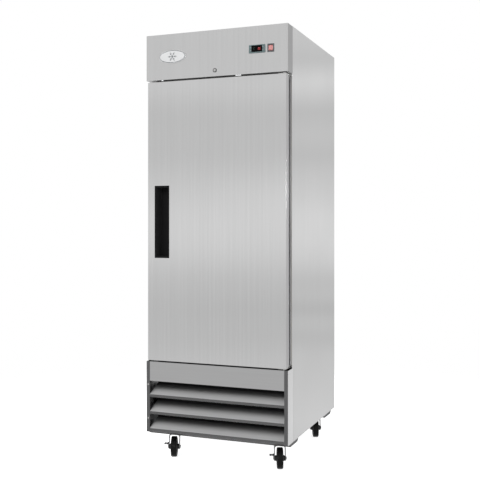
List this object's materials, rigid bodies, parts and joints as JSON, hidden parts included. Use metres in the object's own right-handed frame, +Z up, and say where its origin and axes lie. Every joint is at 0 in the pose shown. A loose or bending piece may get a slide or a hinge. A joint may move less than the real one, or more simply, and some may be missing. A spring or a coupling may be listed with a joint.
{
  "type": "reach-in refrigerator",
  "caption": "Tall stainless steel reach-in refrigerator with a solid hinged door, recessed handle, header controls, louvred lower grille and swivel casters.",
  "frame": {"origin": "on the floor under the middle of the bounding box", "axes": "+Z up, the door faces -Y, +X to the right of someone who faces the door"},
  "size_m": [0.737, 0.851, 2.089],
  "materials": {
    "brushed_steel": "vertical brushed grain",
    "header_steel": "fine vertical brushed grain",
    "grille_steel": "brushed sheet",
    "liner_sheet": "stucco-embossed sheet",
    "galvanised_sheet": "zinc-coated sheet",
    "zinc_plate": "bright zinc plating",
    "foam": "rigid foam",
    "black_plastic": "fine grained",
    "grey_plastic": "satin moulded",
    "dark_plastic": "satin moulded",
    "inner_plastic": "thermoformed sheet",
    "gasket_rubber": "soft extrusion",
    "display_glass": "glossy window",
    "red_lens": "translucent red",
    "lamp_white": "opal",
    "bush_plastic": "acetal",
    "badge_plate": "white enamel with a raised metal rim",
    "coated_wire": "epoxy coated",
    "compressor_black": "black enamel",
    "coil_fins": "thin fins",
    "tyre_rubber": "solid rubber tread",
    "rail_paint": "black paint"
  },
  "bodies": {
    "cabinet": {"side_panel_left": "brushed_steel", "side_panel_right": "brushed_steel", "top_panel": "galvanised_sheet", "back_panel": "galvanised_sheet", "cabinet_foam": "foam", "liner_panels": "liner_sheet", "liner_ceiling": "liner_sheet", "front_frame": "brushed_steel", "shelf_pilasters": "zinc_plate", "shelf_clips": "zinc_plate", "wire_shelves": "coated_wire", "evaporator_coil": "coil_fins", "evaporator_cover": "liner_sheet", "fan_motors": "dark_plastic", "interior_lamp": "lamp_white", "header_panel": "header_steel", "controller_bezel": "grey_plastic", "controller_display": "display_glass", "switch_bezel": "dark_plastic", "lock_barrel": "zinc_plate", "badge_plate": "badge_plate", "hinge_brackets": "zinc_plate", "grille_panel": "grille_steel", "grille_brackets": "grille_steel", "grille_louvres": "grille_steel", "grille_screws": "zinc_plate", "base_deck": "galvanised_sheet", "caster_rails": "rail_paint", "caster_plates": "zinc_plate", "caster_bolts": "zinc_plate", "compressor": "compressor_black", "condenser_coil": "coil_fins", "fan_shroud": "galvanised_sheet", "condensate_pan": "black_plastic", "rear_grille": "galvanised_sheet", "cord_gland": "black_plastic"},
    "door": {"door_skin": "brushed_steel", "door_foam": "foam", "door_inner_panel": "inner_plastic", "door_gasket": "gasket_rubber", "door_handle": "black_plastic", "door_bushes": "bush_plastic"},
    "rocker": {"light_rocker": "red_lens"},
    "lock": {"lock_plug": "zinc_plate"},
    "condenser_fan": {"condenser_fan": "black_plastic"},
    "evaporator_fan": {"evaporator_fan": "black_plastic"},
    "button_upper_left": {"button_upper_left": "dark_plastic"},
    "button_upper_right": {"button_upper_right": "dark_plastic"},
    "button_lower_left": {"button_lower_left": "dark_plastic"},
    "button_lower_right": {"button_lower_right": "dark_plastic"},
    "swivel_front_left": {"fork_front_left": "zinc_plate"},
    "wheel_front_left": {"wheel_front_left": "tyre_rubber"},
    "swivel_front_right": {"fork_front_right": "zinc_plate"},
    "wheel_front_right": {"wheel_front_right": "tyre_rubber"},
    "swivel_rear_left": {"fork_rear_left": "zinc_plate"},
    "wheel_rear_left": {"wheel_rear_left": "tyre_rubber"},
    "swivel_rear_right": {"fork_rear_right": "zinc_plate"},
    "wheel_rear_right": {"wheel_rear_right": "tyre_rubber"},
    "brake_left": {"brake_lever_left": "rail_paint"},
    "brake_right": {"brake_lever_right": "rail_paint"}
  },
  "joints": [
    {"name": "door_hinge", "type": "hinge", "parent": "cabinet", "child": "door", "pos_m": [0.3455, -0.4055, 1.166], "axis": [0, 0, 1], "range_deg": [0, 110], "stiffness_Nm_per_rad": 2.5},
    {"name": "rocker_pivot", "type": "hinge", "parent": "cabinet", "child": "rocker", "pos_m": [0.284, -0.4145, 1.98], "axis": [1, 0, 0], "range_deg": [0, 16]},
    {"name": "lock_turn", "type": "hinge", "parent": "cabinet", "child": "lock", "pos_m": [0, -0.4205, 1.894], "axis": [0, 1, 0], "range_deg": [0, 90]},
    {"name": "button_upper_left_press", "type": "slide", "parent": "cabinet", "child": "button_upper_left", "axis": [0, 1, 0], "range_m": [0, 0.001], "stiffness_N_per_m": 300},
    {"name": "button_upper_right_press", "type": "slide", "parent": "cabinet", "child": "button_upper_right", "axis": [0, 1, 0], "range_m": [0, 0.001], "stiffness_N_per_m": 300},
    {"name": "button_lower_left_press", "type": "slide", "parent": "cabinet", "child": "button_lower_left", "axis": [0, 1, 0], "range_m": [0, 0.001], "stiffness_N_per_m": 300},
    {"name": "button_lower_right_press", "type": "slide", "parent": "cabinet", "child": "button_lower_right", "axis": [0, 1, 0], "range_m": [0, 0.001], "stiffness_N_per_m": 300},
    {"name": "condenser_fan_spin", "type": "hinge", "parent": "cabinet", "child": "condenser_fan", "pos_m": [-0.11, -0.23362, 0.249], "axis": [0, 1, 0], "continuous": true},
    {"name": "evaporator_fan_spin", "type": "hinge", "parent": "cabinet", "child": "evaporator_fan", "pos_m": [0, -0.2485, 1.9305], "axis": [0, 1, 0], "continuous": true},
    {"name": "swivel_front_left_turn", "type": "hinge", "parent": "cabinet", "child": "swivel_front_left", "pos_m": [-0.2565, -0.3285, 0.112], "axis": [0, 0, 1], "continuous": true},
    {"name": "wheel_front_left_roll", "type": "hinge", "parent": "swivel_front_left", "child": "wheel_front_left", "pos_m": [-0.24432, -0.36024, 0.05], "axis": [0.9336, 0.3584, 0], "continuous": true},
    {"name": "swivel_front_right_turn", "type": "hinge", "parent": "cabinet", "child": "swivel_front_right", "pos_m": [0.2965, -0.3285, 0.112], "axis": [0, 0, 1], "continuous": true},
    {"name": "wheel_front_right_roll", "type": "hinge", "parent": "swivel_front_right", "child": "wheel_front_right", "pos_m": [0.30868, -0.36024, 0.05], "axis": [0.9336, 0.3584, 0], "continuous": true},
    {"name": "swivel_rear_left_turn", "type": "hinge", "parent": "cabinet", "child": "swivel_rear_left", "pos_m": [-0.2565, 0.2815, 0.112], "axis": [0, 0, 1], "continuous": true},
    {"name": "wheel_rear_left_roll", "type": "hinge", "parent": "swivel_rear_left", "child": "wheel_rear_left", "pos_m": [-0.24432, 0.24976, 0.05], "axis": [0.9336, 0.3584, 0], "continuous": true},
    {"name": "swivel_rear_right_turn", "type": "hinge", "parent": "cabinet", "child": "swivel_rear_right", "pos_m": [0.2965, 0.2815, 0.112], "axis": [0, 0, 1], "continuous": true},
    {"name": "wheel_rear_right_roll", "type": "hinge", "parent": "swivel_rear_right", "child": "wheel_rear_right", "pos_m": [0.30868, 0.24976, 0.05], "axis": [0.9336, 0.3584, 0], "continuous": true},
    {"name": "brake_left_lift", "type": "hinge", "parent": "swivel_front_left", "child": "brake_left", "pos_m": [-0.27466, -0.37189, 0.065], "axis": [-0.3584, 0.9336, 0], "range_deg": [0, 30]},
    {"name": "brake_right_lift", "type": "hinge", "parent": "swivel_front_right", "child": "brake_right", "pos_m": [0.27834, -0.37189, 0.065], "axis": [-0.3584, 0.9336, 0], "range_deg": [0, 30]}
  ]
}
